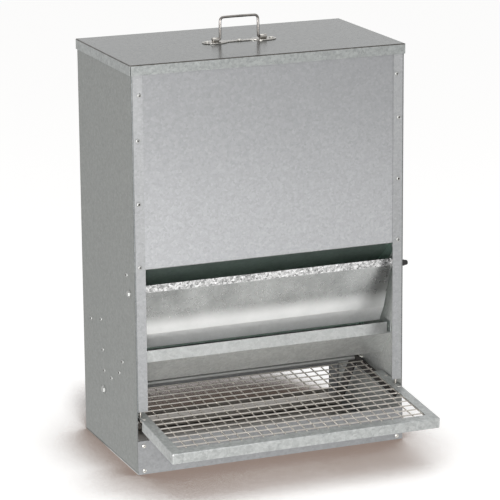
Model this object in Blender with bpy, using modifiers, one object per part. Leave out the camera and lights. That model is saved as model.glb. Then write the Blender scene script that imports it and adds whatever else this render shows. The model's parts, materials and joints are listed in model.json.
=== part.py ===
"""Poultry hopper feeder with a treadle, in galvanised sheet.

World frame: X runs across the front, +Y to the back, +Z up, metres. Most places are written as
a depth behind the case's front plane and a height above the floor.
"""

import math

import bmesh
import bpy
from mathutils import Matrix, Vector

# Sheets and gaps
sheet = 0.0010
treadle_sheet = 0.0012
arm_sheet = 0.0025
seat = 0.0003
fold_radius = 0.0016
smooth_angle = math.radians(35.0)

# Case
case_width = 0.500
case_depth = 0.280
overall_height = 0.715
flange_width = 0.020
base_height = 0.060
notch_over_axle = 0.007
mouth_top = 0.3615
hem_height = 0.012
hem_depth = 0.0045
pan_lip_height = 0.016
rear_opening_top = 0.0595

# Lid and chest handle
lid_skirt = 0.018
lid_clearance = 0.001
lid_corner_slit = 0.0018
handle_plate_length = 0.137
handle_plate_sheet = 0.0012
lobe_length = 0.046
lobe_width = 0.034
waist_width = 0.012
bail_span = 0.071
bail_height = 0.039
bail_radius = 0.0023
bail_corner = 0.007
ear_length = 0.012
ear_radius = 0.0043
ear_clearance = 0.0004
ear_rise = 0.0034
lobe_rivet_from_middle = 0.060
lobe_steps = 18
lobe_cut = 0.017
neck_run = 0.024

# Hopper front slope, as depth and height of its folds
slope_rise = 0.026
slope_tuck = 0.016
slope_foot = (0.191, 0.234)
throat_edge = (0.178, 0.166)
slope_flange = 0.018
slope_flange_start = 0.024

# Trough and rear slope
lip_depth = 0.045
lip_top = 0.2055
lip_bottom = 0.185
lip_end_gap = 0.010
trough_front_foot = (0.085, 0.1385)
trough_rear_foot = (0.163, 0.126)
rear_slope_top = 0.258
trough_tuck = 0.022
trough_front_flange = 0.024
trough_rear_flange = 0.013

# Flap, with its folds as depth and height from its axle
flap_axle_depth = 0.028
flap_axle_drop = 0.0455
flap_end_gap = 0.012
flap_strip_top = (-0.008, 0.013)
flap_fold = (-0.0052, -0.0008)
flap_brow = (0.0265, -0.0835)
flap_foot = (0.044, -0.113)
flap_cheek = 0.008
flap_lobe_sheet = 0.0014
flap_toe_sheet = 0.0013
flap_lobe_radius = 0.0085
flap_pin_wall = 0.003
flap_toe_radius = 0.0035
flap_toe_along = 0.030
flap_toe_inset = 0.004
flap_arm_length = 0.019
flap_arm_rise = math.radians(22.0)

# Treadle
treadle_axle_depth = 0.172
treadle_axle_height = 0.105
treadle_reach = 0.162
treadle_end_gap = 0.004
treadle_tilt = math.radians(5.0)
treadle_top = 0.011
treadle_skirt = 0.018
treadle_rail = 0.018
treadle_front_rail = 0.020
treadle_rail_end = 0.073
treadle_skirt_end = -0.014
arm_inset = 0.017
arm_depth = 0.0185
arm_front_end = -0.012
arm_hub_radius = 0.012
arm_tab_width = 0.011
tab_length = 0.010
front_tab = -0.008
rear_tab = 0.046

# Weldmesh
mesh_pitch = 0.020
mesh_wire_radius = 0.0012
mesh_weld_depth = 0.0005
mesh_rear = 0.131
mesh_sides = 6

# Counterweight
weight_depth = 0.036
weight_height = 0.012
weight_from_rear = 0.038
weight_edge = 0.0008
weight_socket = 0.013
arm_foot_inset = 0.006
arm_relief = 0.0004

# Link rods
link_radius = 0.002
link_inset = 0.009
link_bend = 0.004
link_play = 0.00105
link_foot = 0.008
link_slot_length = 0.0080
link_slot_width = 0.0060
link_slot_shift = 0.0013
link_hole_slack = 0.00035

# Axles and fasteners
axle_radius = 0.003
axle_clearance = 0.0003
treadle_axle_radius = 0.004
head_height = 0.004
head_radius = 0.0058
nut_height = 0.006
black_nut_height = 0.0195
nut_collar = 0.002
nut_collar_radius = 0.0045
spacer_wall = 0.0018
rivet_radius = 0.0018
rivet_head_radius = 0.0035
rivet_head_height = 0.0012
rivet_tail_radius = 0.0028
rivet_tail_height = 0.0012
hole_clearance = 0.0003
hole_reach = 0.008
short_reach = 0.004
screw_radius = 0.0019
screw_head_radius = 0.0036
screw_head_height = 0.0016
screw_length = 0.007
weight_screw_length = 0.012
base_screw_inset = 0.011
base_screw_drop = 0.009
base_screw_rise = 0.0065
flange_rivet_inset = 0.010
top_rivet_inset = 0.014
mouth_rivet_rise = 0.006
upper_rivet_drop = 0.129
top_rivet_drop = 0.052
rear_rivet_rise = 0.052
rear_rivet_drop = 0.115
tuck_rivet_inset = 0.100

# Worked-out places
half_width = case_width / 2
wall_inside = half_width - sheet
lid_sheet = sheet
lid_overhang = lid_clearance + lid_sheet
panel_top = overall_height - lid_sheet - seat
front_y = (treadle_reach - case_depth - lid_overhang) / 2
inner_sheet_middle = sheet + seat + sheet / 2
tuck_middle = inner_sheet_middle + sheet + seat
panel_half_width = wall_inside - seat
flange_middle_x = wall_inside - seat - sheet / 2
pan_top = sheet
flange_bottom = pan_top + seat
flange_top = flange_bottom + sheet
notch_top = treadle_axle_height + notch_over_axle
slope_top = mouth_top + slope_rise
lip_half_width = half_width - lip_end_gap
flap_axle_height = mouth_top - flap_axle_drop
flap_half_width = half_width - flap_end_gap
treadle_half_width = half_width - treadle_end_gap
arm_inner_x = half_width - arm_inset
link_x = half_width - link_inset
weight_middle_depth = case_depth - weight_from_rear
base_screw_x = half_width - base_screw_inset
base_screw_heights = (base_height - base_screw_drop, base_screw_rise)
flange_rivet_x = half_width - flange_rivet_inset
front_rivets = (
    (flange_rivet_x, mouth_top + mouth_rivet_rise),
    (flange_rivet_x, overall_height - upper_rivet_drop),
    (half_width - top_rivet_inset, overall_height - top_rivet_drop),
)
rear_rivet_low = rear_opening_top + rear_rivet_rise
rear_rivet_high = overall_height - rear_rivet_drop
rear_rivets = tuple(
    (flange_rivet_x, height)
    for height in (rear_rivet_low, (rear_rivet_low + rear_rivet_high) / 2, rear_rivet_high)
)
tuck_rivet_x = (tuck_rivet_inset - half_width, 0.0, half_width - tuck_rivet_inset)

object_collection = None
cutter_collection = None


def clear_scene():
    for item in list(bpy.data.objects):
        bpy.data.objects.remove(item, do_unlink=True)


def make_collections():
    global object_collection, cutter_collection
    object_collection = bpy.data.collections.new("poultry_hopper_feeder")
    cutter_collection = bpy.data.collections.new("cutters")
    for collection in (object_collection, cutter_collection):
        bpy.context.scene.collection.children.link(collection)


def metal(name, colour, roughness, metallic=1.0):
    """A Principled material with a linear colour."""
    made = bpy.data.materials.new(name)
    made.use_nodes = True
    shader = made.node_tree.nodes["Principled BSDF"]
    shader.inputs["Base Color"].default_value = (*colour, 1.0)
    shader.inputs["Roughness"].default_value = roughness
    shader.inputs["Metallic"].default_value = metallic
    made.diffuse_color = (*colour, 1.0)
    return made


def place(depth, height, x=0.0):
    """A point in the world from its depth behind the front plane and its height."""
    return Vector((x, front_y + depth, height))


def link(item, is_cutter=False):
    if is_cutter:
        cutter_collection.objects.link(item)
        item.hide_render = True
        item.display_type = "WIRE"
    else:
        object_collection.objects.link(item)


def object_from(name, mesh, is_cutter=False):
    made = bpy.data.objects.new(name, mesh)
    link(made, is_cutter)
    return made


def object_from_bmesh(name, shape, is_cutter=False):
    mesh = bpy.data.meshes.new(name)
    shape.to_mesh(mesh)
    shape.free()
    return object_from(name, mesh, is_cutter)


def baked(item):
    """The evaluated mesh of an object, welded, with the object itself removed."""
    evaluated = item.evaluated_get(bpy.context.evaluated_depsgraph_get())
    mesh = bpy.data.meshes.new_from_object(evaluated)
    shape = bmesh.new()
    shape.from_mesh(mesh)
    bmesh.ops.remove_doubles(shape, verts=shape.verts, dist=0.00001)
    shape.transform(item.matrix_world)
    shape.to_mesh(mesh)
    shape.free()
    bpy.data.objects.remove(item, do_unlink=True)
    return mesh


def cut(item, cutter):
    made = item.modifiers.new("cut_" + cutter.name, "BOOLEAN")
    made.operation = "DIFFERENCE"
    made.object = cutter


def fuse(item, tool):
    made = item.modifiers.new("join_" + tool.name, "BOOLEAN")
    made.operation = "UNION"
    made.object = tool


def thicken(item, thickness, offset):
    made = item.modifiers.new("thickness", "SOLIDIFY")
    made.thickness = thickness
    made.offset = offset
    made.use_even_offset = True


def box(name, low, high, is_cutter=False):
    shape = bmesh.new()
    bmesh.ops.create_cube(shape, size=1.0)
    low, high = Vector(low), Vector(high)
    middle = Matrix.Translation((low + high) / 2)
    shape.transform(middle @ Matrix.Diagonal((*(high - low), 1.0)))
    return object_from_bmesh(name, shape, is_cutter)


def open_box(name, low, high, missing, thickness):
    """A folded tray: a box without the faces whose normals are named, thickened inwards."""
    made = box(name, low, high)
    shape = bmesh.new()
    shape.from_mesh(made.data)
    shape.normal_update()
    gone = [face for face in shape.faces for way in missing if face.normal.dot(Vector(way)) > 0.9]
    bmesh.ops.delete(shape, geom=gone, context="FACES")
    shape.to_mesh(made.data)
    shape.free()
    fold = made.modifiers.new("folds", "BEVEL")
    fold.width = fold_radius
    fold.segments = 2
    fold.limit_method = "ANGLE"
    thicken(made, thickness, -1.0)
    return made


def smooth(item):
    for face in item.data.polygons:
        face.use_smooth = True
    item.data.set_sharp_from_angle(angle=smooth_angle)


def cylinder(name, radius, start, end, sides=12, is_cutter=False):
    shape = bmesh.new()
    start, end = Vector(start), Vector(end)
    along = end - start
    turn = Vector((0, 0, 1)).rotation_difference(along).to_matrix().to_4x4()
    bmesh.ops.create_cone(
        shape, cap_ends=True, segments=sides, radius1=radius, radius2=radius, depth=along.length
    )
    shape.transform(Matrix.Translation((start + end) / 2) @ turn)
    made = object_from_bmesh(name, shape, is_cutter)
    smooth(made)
    return made


def gathered(name, pieces):
    """One cutter or tool from several objects, which are removed."""
    shape = bmesh.new()
    for piece in pieces:
        shape.from_mesh(baked(piece))
    return object_from_bmesh(name, shape, True)


def turned(name, profile, start, direction, sides=8, is_cutter=False):
    """A profile of radius and height pairs, top to bottom, turned about an axis along direction."""
    mesh = bpy.data.meshes.new(name)
    points = [(radius, 0.0, height) for radius, height in profile]
    mesh.from_pydata(points, [(i, i + 1) for i in range(len(points) - 1)], [])
    made = object_from(name, mesh, is_cutter)
    screw = made.modifiers.new("turn", "SCREW")
    screw.steps = sides
    screw.render_steps = sides
    screw.use_merge_vertices = True
    screw.merge_threshold = 0.00001
    made.location = start
    made.rotation_mode = "QUATERNION"
    made.rotation_quaternion = Vector((0, 0, 1)).rotation_difference(Vector(direction))
    bpy.context.view_layer.update()
    return made


def finish(item, material, parent=None):
    """Gives an object its material and, where it moves, its parent on the joint's axis."""
    item.data.materials.clear()
    item.data.materials.append(material)
    if parent:
        item.parent = parent
        item.matrix_parent_inverse = parent.matrix_world.inverted()
    return item


def normal_of(start, end):
    """The left-hand normal of a run in the depth and height plane."""
    run = Vector(end) - Vector(start)
    run.normalize()
    return Vector((-run.y, run.x))


def beside(path, run, along, inset):
    """A point on a run of a path, moved to its left by the inset."""
    start, end = Vector(path[run]), Vector(path[run + 1])
    way = (end - start).normalized()
    return start + way * along + normal_of(start, end) * inset


def shifted(path, distances):
    """The path moved to its left, by its own distance at each point, with mitred corners."""
    moved = []
    for i, point in enumerate(path):
        normals = []
        if i > 0:
            normals.append(normal_of(path[i - 1], point))
        if i < len(path) - 1:
            normals.append(normal_of(point, path[i + 1]))
        mean = sum(normals, Vector((0.0, 0.0))).normalized()
        moved.append(Vector(point) + mean * (distances[i] / mean.dot(normals[0])))
    return moved


def with_folds(path, radius, steps=2):
    """The path with each inner corner rounded to an arc."""
    rounded = [Vector(path[0])]
    for before, corner, after in zip(path, path[1:], path[2:]):
        corner = Vector(corner)
        back = (Vector(before) - corner).normalized()
        ahead = (Vector(after) - corner).normalized()
        half = back.angle(ahead) / 2
        reach = radius / math.tan(half)
        centre = corner + (back + ahead).normalized() * (radius / math.sin(half))
        start = corner + back * reach - centre
        end = corner + ahead * reach - centre
        for step in range(steps + 1):
            arm = start.lerp(end, step / steps)
            rounded.append(centre + arm.normalized() * radius)
    rounded.append(Vector(path[-1]))
    return rounded


def bent_sheet(name, path, half, thickness=sheet, flanges=None):
    """A sheet bent along a path of depths and heights, and as wide as twice half.

    flanges gives a width for each point that carries an end flange, on the path's left.
    """
    shape = bmesh.new()
    rows = {}
    for side in (-1, 1):
        rows[side] = [shape.verts.new(place(*point, side * half)) for point in path]
    for i in range(len(path) - 1):
        shape.faces.new((rows[-1][i], rows[-1][i + 1], rows[1][i + 1], rows[1][i]))
    if flanges:
        first, last = min(flanges), max(flanges)
        widths = [flanges[i] for i in range(first, last + 1)]
        edge = shifted(path[first : last + 1], widths)
        for side in (-1, 1):
            outer = [shape.verts.new(place(*point, side * half)) for point in edge]
            inner = rows[side][first : last + 1]
            for i in range(len(edge) - 1):
                quad = (outer[i], outer[i + 1], inner[i + 1], inner[i])
                shape.faces.new(quad if side < 0 else quad[::-1])
    made = object_from_bmesh(name, shape)
    thicken(made, thickness, 0.0)
    return made


def rounded_hull(circles, steps=12):
    """The outline round several circles, each given as its centre and radius."""
    points = []
    for (across, up), radius in circles:
        for step in range(steps):
            angle = 2 * math.pi * step / steps
            points.append((across + radius * math.cos(angle), up + radius * math.sin(angle)))
    points = sorted(set(points))
    hull = []
    for run in (points, points[::-1]):
        start = len(hull)
        for point in run:
            while len(hull) - start >= 2 and turns_right(hull[-2], hull[-1], point):
                hull.pop()
            hull.append(point)
        hull.pop()
    return hull


def turns_right(a, b, c):
    return (b[0] - a[0]) * (c[1] - a[1]) - (b[1] - a[1]) * (c[0] - a[0]) <= 1e-12


def flat_plate(name, outline, thickness, to_world, is_cutter=False):
    """A flat outline made solid, its middle plane at local zero."""
    curve = bpy.data.curves.new(name, "CURVE")
    curve.dimensions = "2D"
    curve.fill_mode = "BOTH"
    curve.extrude = thickness / 2
    spline = curve.splines.new("POLY")
    spline.points.add(len(outline) - 1)
    for point, (across, up) in zip(spline.points, outline):
        point.co = (across, up, 0.0, 1.0)
    spline.use_cyclic_u = True
    drawn = bpy.data.objects.new(name + "_outline", curve)
    link(drawn, True)
    drawn.matrix_world = to_world
    bpy.context.view_layer.update()
    return object_from(name, baked(drawn), is_cutter)


def standing(x, start=None):
    """The matrix that stands a depth and height outline up across X, at x."""
    turn = Matrix(((0, 0, 1, x), (1, 0, 0, 0), (0, 1, 0, 0), (0, 0, 0, 1)))
    return Matrix.Translation(start or place(0.0, 0.0)) @ turn


def wire(name, points, radius, corner_radii):
    """A round wire through corner points, with each corner bent to its own radius."""
    path = [Vector(points[0])]
    for i, radius_here in enumerate(corner_radii):
        corner = Vector(points[i + 1])
        back = (Vector(points[i]) - corner).normalized()
        ahead = (Vector(points[i + 2]) - corner).normalized()
        centre = corner + (back + ahead) * radius_here
        for step in range(5):
            angle = math.pi / 2 * step / 4
            arm = ahead * math.cos(angle) + back * math.sin(angle)
            path.append(centre - arm * radius_here)
    path.append(Vector(points[-1]))
    curve = bpy.data.curves.new(name, "CURVE")
    curve.dimensions = "3D"
    curve.bevel_depth = radius
    curve.bevel_resolution = 2
    curve.use_fill_caps = True
    spline = curve.splines.new("POLY")
    spline.points.add(len(path) - 1)
    for point, where in zip(spline.points, path):
        point.co = (*where, 1.0)
    made = bpy.data.objects.new(name, curve)
    link(made)
    return made


def rivet(name, start, direction, grip, is_cutter=True):
    """A domed rivet whose head stands on start and whose tail closes under the grip."""
    tail = -(grip + seat)
    underside = -seat if is_cutter else 0.0
    profile = (
        (0.0, rivet_head_height),
        (rivet_head_radius * 0.62, rivet_head_height * 0.78),
        (rivet_head_radius, underside),
        (rivet_radius, underside),
        (rivet_radius, tail),
        (rivet_tail_radius, tail),
        (rivet_tail_radius * 0.8, tail - rivet_tail_height),
        (0.0, tail - rivet_tail_height),
    )
    sides = 6 if is_cutter else 8
    return turned(name, profile, start, direction, sides, is_cutter)


def through_hole(name, start, direction, radius, reach=hole_reach, sides=8):
    way = Vector(direction).normalized() * reach
    return cylinder(name, radius, Vector(start) + way, Vector(start) - way, sides, True)


def axle_hole(name, start, radius, reach=hole_reach):
    return through_hole(name, start, (1, 0, 0), radius + axle_clearance, reach, 12)


# Paths of the bent sheets, as depth and height of their middle surfaces
slope_start = Vector((tuck_middle, slope_top))
slope_way = (Vector(slope_foot) - slope_start).normalized()
slope_path = [
    (tuck_middle, slope_top + slope_tuck),
    tuple(slope_start),
    tuple(slope_start + slope_way * slope_flange_start),
    slope_foot,
    throat_edge,
]
trough_tuck_depth = case_depth - tuck_middle
trough_path = [
    (lip_depth, lip_top),
    (lip_depth, lip_bottom),
    trough_front_foot,
    trough_rear_foot,
    (trough_tuck_depth, rear_slope_top),
    (trough_tuck_depth, rear_slope_top + trough_tuck),
]
flap_path = [
    (flap_axle_depth + depth, flap_axle_height + height)
    for depth, height in (flap_strip_top, flap_fold, flap_brow, flap_foot)
]

# Side rivets: the run of the path that each sits beside, the way along it and its inset
slope_rivets = ((2, 0.030, -0.009), (2, 0.212, -0.009), (3, 0.059, -0.006))
trough_rivets = (
    (1, 0.017, 0.0175),
    (1, 0.047, 0.015),
    (2, 0.044, 0.006),
    (3, 0.014, 0.0065),
    (3, 0.117, 0.0065),
)


def side_rivet_places():
    places = [beside(slope_path, *spot) for spot in slope_rivets]
    return places + [beside(trough_path, *spot) for spot in trough_rivets]


def case_rivets(side, make, name):
    """Every rivet of one side panel, or its hole, made by the function that is handed in."""
    made = []
    for i, (depth, height) in enumerate(side_rivet_places()):
        start = place(depth, height, side * half_width)
        made.append(make(f"{name}_side_{i}", start, (side, 0, 0)))
    for i, (x, height) in enumerate(front_rivets):
        made.append(make(f"{name}_front_{i}", place(0.0, height, side * x), (0, -1, 0)))
    for i, (x, height) in enumerate(rear_rivets):
        made.append(make(f"{name}_rear_{i}", place(case_depth, height, side * x), (0, 1, 0)))
    return made


def make_rivet_holes():
    """The cutter for every sheet behind the side panels."""
    def hole(name, start, direction):
        return through_hole(name, start, direction, rivet_radius + hole_clearance)

    holes = case_rivets(-1, hole, "hole_left") + case_rivets(1, hole, "hole_right")
    for i, x in enumerate(tuck_rivet_x):
        height = rear_slope_top + trough_tuck / 2 + sheet
        start = place(case_depth - inner_sheet_middle, height, x)
        holes.append(hole(f"hole_tuck_{i}", start, (0, 1, 0)))
    return gathered("rivet_holes", holes)


def make_side_panel(name, side, material):
    low_x, high_x = sorted((side * half_width, side * (half_width - flange_width)))
    panel = open_box(
        name,
        (low_x, front_y, flange_bottom),
        (high_x, front_y + case_depth, panel_top),
        [(-side, 0, 0), (0, 0, 1)],
        sheet,
    )
    inner = side * (half_width - flange_width - sheet)
    notch_x = sorted((side * wall_inside, inner))
    cut(panel, box(
        name + "_notch",
        (notch_x[0], front_y - sheet, base_height),
        (notch_x[1], front_y + fold_radius + sheet, notch_top),
        True,
    ))
    holes = []
    for depth, height, radius in (
        (flap_axle_depth, flap_axle_height, axle_radius),
        (treadle_axle_depth, treadle_axle_height, treadle_axle_radius),
    ):
        start = place(depth, height, side * half_width)
        holes.append(axle_hole(name + "_axle", start, radius))
    for height in base_screw_heights:
        start = place(0.0, height, side * base_screw_x)
        holes.append(through_hole(name + "_screw", start, (0, -1, 0), screw_radius + hole_clearance))
    cut(panel, gathered(name + "_holes", holes))

    def own_rivet(rivet_name, start, direction):
        return rivet(rivet_name, start, direction, 2 * sheet + seat)

    fuse(panel, gathered(name + "_rivets", case_rivets(side, own_rivet, name)))
    return finish(panel, material)


def make_case(materials, holes):
    make_side_panel("left_side_panel", -1, materials["side"])
    make_side_panel("right_side_panel", 1, materials["side"])
    front_path = [
        (inner_sheet_middle, panel_top),
        (inner_sheet_middle, mouth_top + sheet / 2),
        (inner_sheet_middle + hem_depth, mouth_top + sheet / 2),
        (inner_sheet_middle + hem_depth, mouth_top + hem_height),
    ]
    front = bent_sheet("front_panel", with_folds(front_path, fold_radius), panel_half_width)
    cut(front, holes)
    finish(front, materials["front"])

    back = bent_sheet(
        "back_panel",
        [
            (case_depth - inner_sheet_middle, rear_opening_top),
            (case_depth - inner_sheet_middle, panel_top),
        ],
        panel_half_width,
    )
    cut(back, holes)
    tuck_height = rear_slope_top + trough_tuck / 2 + sheet
    back_face = case_depth - sheet - seat
    back_rivets = [
        rivet(f"tuck_{i}", place(back_face, tuck_height, x), (0, 1, 0), 2 * sheet + seat)
        for i, x in enumerate(tuck_rivet_x)
    ]
    fuse(back, gathered("back_panel_rivets", back_rivets))
    finish(back, materials["front"])


def make_base(materials):
    pan_path = [
        (sheet / 2, pan_lip_height),
        (sheet / 2, sheet / 2),
        (case_depth - sheet / 2, sheet / 2),
        (case_depth - sheet / 2, pan_lip_height),
    ]
    pan = bent_sheet("bottom_pan", with_folds(pan_path, fold_radius), half_width)
    lip_end = half_width - flange_width - 2 * seat
    for side in (-1, 1):
        x = sorted((side * lip_end, side * (half_width + sheet)))
        cut(pan, box(
            f"pan_lip_end_{side}",
            (x[0], front_y - sheet, pan_top + sheet / 10),
            (x[1], front_y + case_depth + sheet, pan_lip_height + sheet),
            True,
        ))
    finish(pan, materials["pan"])

    base_depth = -(seat + sheet / 2)
    base = bent_sheet("base_front_panel", [(base_depth, 0.0), (base_depth, base_height)], half_width)
    holes = []
    for side in (-1, 1):
        for height in base_screw_heights:
            start = place(0.0, height, side * base_screw_x)
            holes.append(through_hole("base_hole", start, (0, -1, 0), screw_radius + hole_clearance))
    cut(base, gathered("base_front_panel_holes", holes))
    finish(base, materials["front"])

    face = -(sheet + 2 * seat)
    for side, word in ((-1, "left"), (1, "right")):
        for height, level in zip(base_screw_heights, ("upper", "lower")):
            start = place(face, height, side * base_screw_x)
            finish(screw(f"base_screw_{word}_{level}", start, (0, -1, 0)), materials["zinc"])


def screw(name, start, direction, length=screw_length):
    """A pan-headed screw whose head stands on start."""
    profile = (
        (0.0, screw_head_height),
        (screw_head_radius * 0.7, screw_head_height * 0.85),
        (screw_head_radius, screw_head_height * 0.35),
        (screw_head_radius, 0.0),
        (screw_radius, 0.0),
        (screw_radius, -length),
        (0.0, -length),
    )
    return turned(name, profile, start, direction)


def make_hopper(materials, holes):
    slope = bent_sheet(
        "hopper_front_slope", slope_path, flange_middle_x,
        flanges={i: -slope_flange for i in (2, 3, 4)},
    )
    cut(slope, holes)
    finish(slope, materials["slope"])

    trough = bent_sheet(
        "feed_trough", trough_path, flange_middle_x,
        flanges={
            0: trough_front_flange,
            1: trough_front_flange,
            2: trough_front_flange,
            3: trough_rear_flange,
            4: trough_rear_flange,
        },
    )
    for side in (-1, 1):
        x = sorted((side * lip_half_width, side * (half_width + sheet)))
        cut(trough, box(
            f"lip_relief_{side}",
            (x[0], front_y + lip_depth - 2 * sheet, lip_bottom + sheet),
            (x[1], front_y + lip_depth + 2 * sheet, lip_top + sheet),
            True,
        ))
    cut(trough, holes)
    finish(trough, materials["inside"])


def make_axle(name, depth, height, radius, materials, nut_paint, nut_run):
    """A through axle with a hexagon head on the left and a locking nut on the right."""
    outside = half_width + seat
    nut_end = outside + nut_run + nut_collar
    axle = cylinder(
        name, radius,
        place(depth, height, -outside - head_height / 2),
        place(depth, height, nut_end - seat), 12,
    )
    head = cylinder(
        name + "_head", head_radius + radius - axle_radius,
        place(depth, height, -outside - head_height),
        place(depth, height, -outside), 6, True,
    )
    fuse(axle, head)
    finish(axle, materials["zinc"])

    nut = cylinder(
        name + "_nut", head_radius + radius - axle_radius,
        place(depth, height, outside),
        place(depth, height, outside + nut_run), 6,
    )
    collar = cylinder(
        name + "_nut_collar", nut_collar_radius + radius - axle_radius,
        place(depth, height, outside + nut_run / 2),
        place(depth, height, nut_end), 12, True,
    )
    bore = cylinder(
        name + "_nut_bore", radius + axle_clearance,
        place(depth, height, outside - sheet),
        place(depth, height, nut_end + sheet), 12, True,
    )
    fuse(nut, collar)
    cut(nut, bore)
    finish(nut, nut_paint)


def make_spacer(name, depth, height, side, radius, inner_x, material):
    near = place(depth, height, side * (inner_x + seat))
    far = place(depth, height, side * (wall_inside - seat))
    bore_radius = radius + axle_clearance
    tube = cylinder(name, bore_radius + spacer_wall, near, far, 12)
    reach = Vector((side * sheet, 0.0, 0.0))
    cut(tube, cylinder(name + "_bore", bore_radius, near - reach, far + reach, 12, True))
    finish(tube, material)


def make_axles(materials):
    flap_lobe_face = flap_half_width - sheet / 2 + flap_lobe_sheet / 2
    arm_face = arm_inner_x + arm_sheet
    for name, depth, height, radius, inner_x, nut_paint, nut_run in (
        ("flap_axle", flap_axle_depth, flap_axle_height, axle_radius, flap_lobe_face,
         "black", black_nut_height),
        ("treadle_axle", treadle_axle_depth, treadle_axle_height, treadle_axle_radius, arm_face,
         "zinc", nut_height),
    ):
        make_axle(name, depth, height, radius, materials, materials[nut_paint], nut_run)
        for side, word in ((-1, "left"), (1, "right")):
            make_spacer(
                f"{name}_spacer_{word}", depth, height, side, radius, inner_x, materials["zinc"]
            )


def make_lid(materials):
    outer = half_width + lid_overhang
    low = (-outer, front_y - lid_overhang, overall_height - lid_skirt)
    high = (outer, front_y + case_depth + lid_overhang, overall_height)
    lid = open_box("lid_cover", low, high, [(0, 0, -1)], lid_sheet)
    for i, (x, y) in enumerate((x, y) for x in (low[0], high[0]) for y in (low[1], high[1])):
        corner = Vector((x, y, 0.0))
        reach = Vector((lid_corner_slit, lid_corner_slit, 0.0))
        slit_top = Vector((0.0, 0.0, overall_height - fold_radius - seat))
        slit_foot = Vector((0.0, 0.0, low[2] - sheet))
        cut(lid, box(f"lid_corner_{i}", corner - reach + slit_foot, corner + reach + slit_top, True))
    middle = place(case_depth / 2, overall_height)
    rivet_xs = (-lobe_rivet_from_middle, 0.0, lobe_rivet_from_middle)
    spots = [middle + Vector((x, 0.0, 0.0)) for x in rivet_xs]
    holes = [
        through_hole("lid_hole", spot, (0, 0, 1), rivet_radius + hole_clearance) for spot in spots
    ]
    drilling = gathered("lid_holes", holes)
    cut(lid, drilling)
    finish(lid, materials["lid"])

    plate_middle = seat + handle_plate_sheet / 2
    lobe = handle_plate_length / 2 - lobe_length / 2
    outline = []
    for step in range(lobe_steps):
        angle = math.pi * (2 * step + 1) / lobe_steps
        outline.append((lobe_length / 2 * math.cos(angle), lobe_width / 2 * math.sin(angle)))
    waist = waist_width / 2
    right = [(lobe + x, y) for x, y in outline if x > -lobe_cut]
    right.sort(key=lambda point: math.atan2(point[1], point[0] - lobe))
    neck = lobe - neck_run
    half = [(neck, -waist)] + right + [(neck, waist)]
    whole = half + [(-x, -y) for x, y in half]
    plate = flat_plate(
        "handle_plate", whole, handle_plate_sheet,
        Matrix.Translation(middle + Vector((0.0, 0.0, plate_middle))),
    )
    cut(plate, drilling)
    pivot = middle + Vector((0.0, 0.0, seat + handle_plate_sheet + ear_rise))
    ears = []
    bores = []
    for side in (-1, 1):
        near = pivot + Vector((side * (bail_span / 2 + bail_radius + 2 * seat), 0.0, 0.0))
        far = near + Vector((side * ear_length, 0.0, 0.0))
        reach = Vector((side * sheet, 0.0, 0.0))
        ears.append(cylinder("ear", ear_radius, near, far, 10))
        bores.append(cylinder("ear_bore", bail_radius + ear_clearance, near - reach, far + reach, 10))
    fuse(plate, gathered("handle_ears", ears))
    cut(plate, gathered("handle_ear_bores", bores))
    finish(plate, materials["zinc"])

    grip = seat + handle_plate_sheet + seat + lid_sheet
    top = middle + Vector((0.0, 0.0, handle_plate_sheet + 2 * seat))
    for spot, word in zip(spots, ("left", "middle", "right")):
        start = top + spot - middle
        made = rivet(f"handle_rivet_{word}", start, (0, 0, 1), grip, is_cutter=False)
        finish(made, materials["zinc"])

    axis = bpy.data.objects.new("handle_axis", None)
    object_collection.objects.link(axis)
    axis.location = pivot
    foot = bail_span / 2 + bail_radius + 2 * seat + ear_length - sheet
    leg = bail_span / 2
    points = [
        (-foot, 0.0, 0.0),
        (-leg, 0.0, 0.0),
        (-leg, 0.0, bail_height),
        (leg, 0.0, bail_height),
        (leg, 0.0, 0.0),
        (foot, 0.0, 0.0),
    ]
    foot_bend = bail_radius + 2 * seat
    bail = wire("handle_bail", points, bail_radius, [foot_bend, bail_corner, bail_corner, foot_bend])
    ride(axis, bail)
    finish(bail, materials["bail"])


def ride(axis, *items):
    """Parents pieces that were built in the axis's own frame."""
    for item in items:
        item.parent = axis


def joint_axis(name, where, tilt=0.0):
    axis = bpy.data.objects.new(name, None)
    object_collection.objects.link(axis)
    axis.location = where
    axis.rotation_euler = (tilt, 0.0, 0.0)
    bpy.context.view_layer.update()
    return axis


def make_flap(materials):
    axis = joint_axis("flap_axis", place(flap_axle_depth, flap_axle_height))
    cheek_x = flap_half_width - sheet / 2
    flap = bent_sheet("flap", flap_path, cheek_x, flanges={i: flap_cheek for i in (1, 2, 3)})
    axle_spot = (flap_axle_depth, flap_axle_height)
    toe = tuple(beside(flap_path, 1, flap_toe_along, flap_toe_inset))
    lobes = []
    holes = []
    for side in (-1, 1):
        for end, radius, thickness in (
            (flap_pin, link_slot_radius + flap_pin_wall, flap_lobe_sheet),
            (toe, flap_toe_radius, flap_toe_sheet),
        ):
            outline = rounded_hull([(axle_spot, flap_lobe_radius), (end, radius)])
            lobes.append(flat_plate("lobe", outline, thickness, standing(side * cheek_x)))
        holes.append(axle_hole("flap_hole", place(*axle_spot, side * cheek_x), axle_radius, short_reach))
        pin = place(*flap_pin, side * cheek_x)
        holes.append(through_hole("pin_hole", pin, (1, 0, 0), link_slot_radius, short_reach, 12))
    for i, lobe in enumerate(lobes):
        fuse(flap, gathered(f"flap_lobe_{i}", [lobe]))
    cut(flap, gathered("flap_holes", holes))
    finish(flap, materials["flap"], axis)


def along_treadle(depth):
    """The treadle's own forward coordinate of a depth that is met on its top plane."""
    return (depth - treadle_axle_depth + treadle_top * math.sin(treadle_tilt)) / math.cos(treadle_tilt)


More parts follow.
